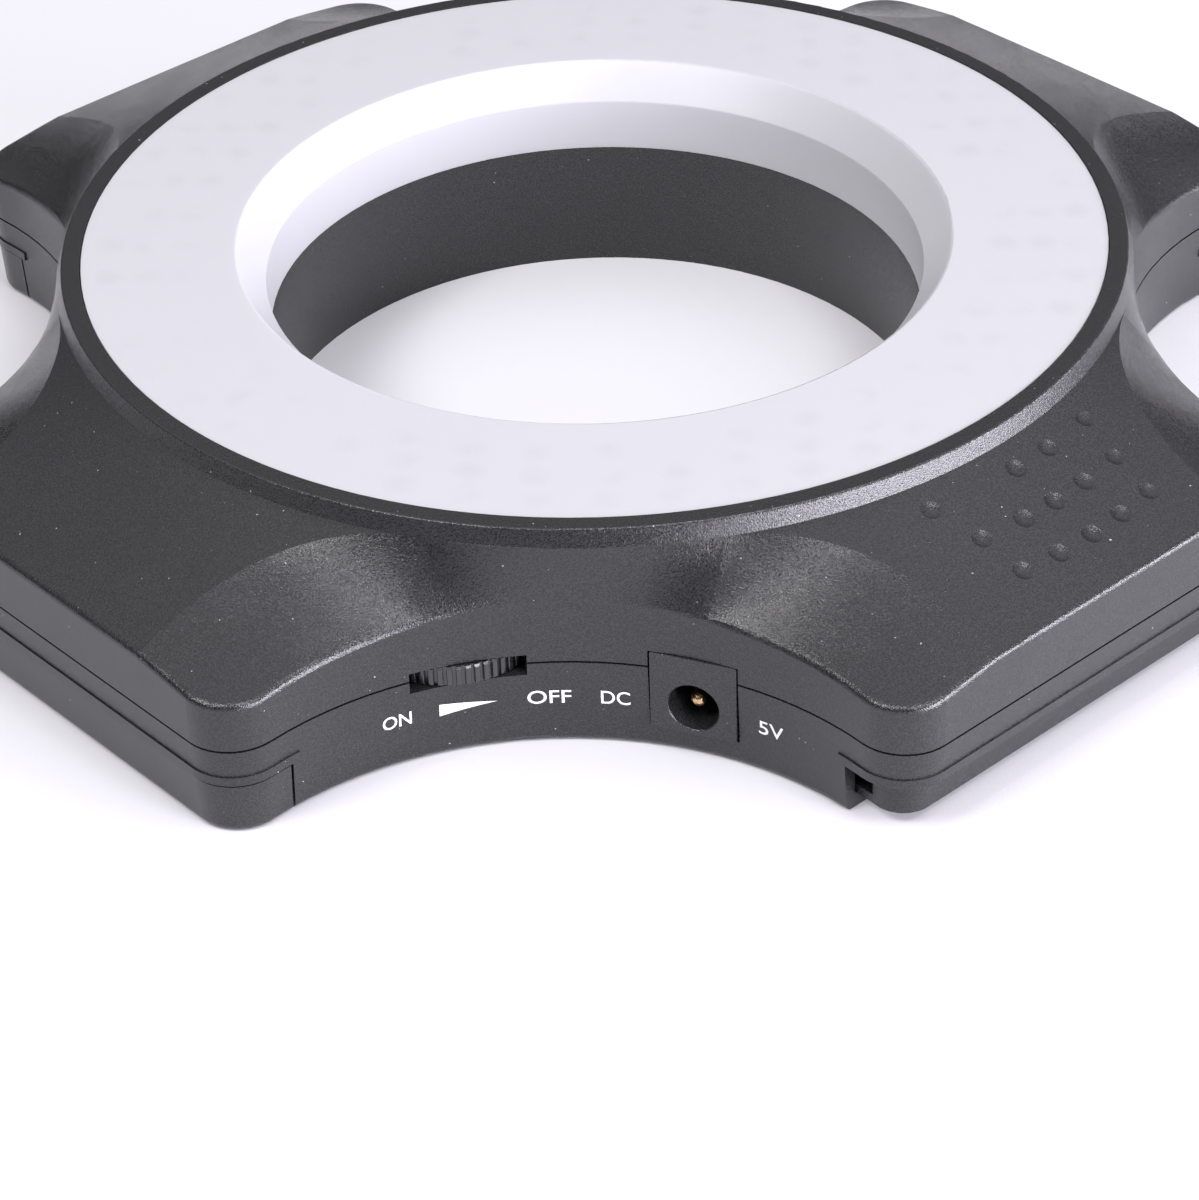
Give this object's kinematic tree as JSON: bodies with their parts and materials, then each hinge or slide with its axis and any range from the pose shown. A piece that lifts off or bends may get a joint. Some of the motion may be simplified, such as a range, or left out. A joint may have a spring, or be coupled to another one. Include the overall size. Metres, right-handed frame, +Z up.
{
  "type": "led ring light",
  "caption": "Ring light with a frosted annular diffuser, battery lobes with sliding doors, a dimmer wheel, a power inlet and a threaded mount.",
  "frame": {"origin": "on the table under the middle of the ring", "axes": "+Z up out of the lit face, -Y towards the scallop with the dimmer wheel and the inlet, +X to the right of someone who looks at that scallop"},
  "size_m": [0.1746, 0.1746, 0.0305],
  "materials": {
    "black_plastic": "fine-grained matte black moulding",
    "diffuser": "frosted translucent white",
    "white_plastic": "matte white moulding",
    "white_board": "white solder resist",
    "led_lamp": "phosphor in a white package",
    "green_board": "green solder resist",
    "chip_black": "black epoxy",
    "ferrite": "sintered ferrite",
    "aluminium_can": "drawn can",
    "wheel_plastic": "glossy black moulding",
    "steel": "nickel-plated",
    "control_metal": "plated can",
    "jack_plastic": "fine-grained matte black",
    "gold_pin": "gold plated",
    "tinned_brass": "tinned",
    "cell_sleeve": "plain printed sleeve without lettering",
    "black_steel": "black oxide",
    "brass": "turned",
    "wire_red": "insulated hook-up wire",
    "copper_wire": "tinned copper"
  },
  "bodies": {
    "root": {"front_shell": "black_plastic", "back_shell": "black_plastic", "diffuser_ring": "diffuser", "spacer_ring": "white_plastic", "led_board": "white_board", "leds": "led_lamp", "driver_board": "green_board", "driver_chip": "chip_black", "driver_coil": "ferrite", "driver_capacitor": "aluminium_can", "dimmer_control": "control_metal", "dc_jack_body": "jack_plastic", "dc_jack_pin": "gold_pin", "dc_jack_tabs": "tinned_brass", "aa_cells": "cell_sleeve", "cell_plates": "tinned_brass", "cell_springs": "steel", "board_screws": "steel", "case_screws": "black_steel", "thread_insert": "brass", "cell_wires": "wire_red", "light_leads": "copper_wire"},
    "dimmer": {"dimmer_wheel": "wheel_plastic", "dimmer_shaft": "steel"},
    "door_sw": {"battery_door_sw": "black_plastic"},
    "door_nw": {"battery_door_nw": "black_plastic"},
    "door_ne": {"battery_door_ne": "black_plastic"}
  },
  "joints": [
    {"name": "dimmer_turn", "type": "hinge", "parent": "root", "child": "dimmer", "pos_m": [-0.01489, -0.06207, 0.0119], "axis": [0, 0, 1], "range_deg": [0, 280]},
    {"name": "door_sw_slide", "type": "slide", "parent": "root", "child": "door_sw", "axis": [-0.7071, -0.7071, 0], "range_m": [0, 0.02]},
    {"name": "door_nw_slide", "type": "slide", "parent": "root", "child": "door_nw", "axis": [-0.7071, 0.7071, 0], "range_m": [0, 0.02]},
    {"name": "door_ne_slide", "type": "slide", "parent": "root", "child": "door_ne", "axis": [0.7071, 0.7071, 0], "range_m": [0, 0.02]}
  ]
}
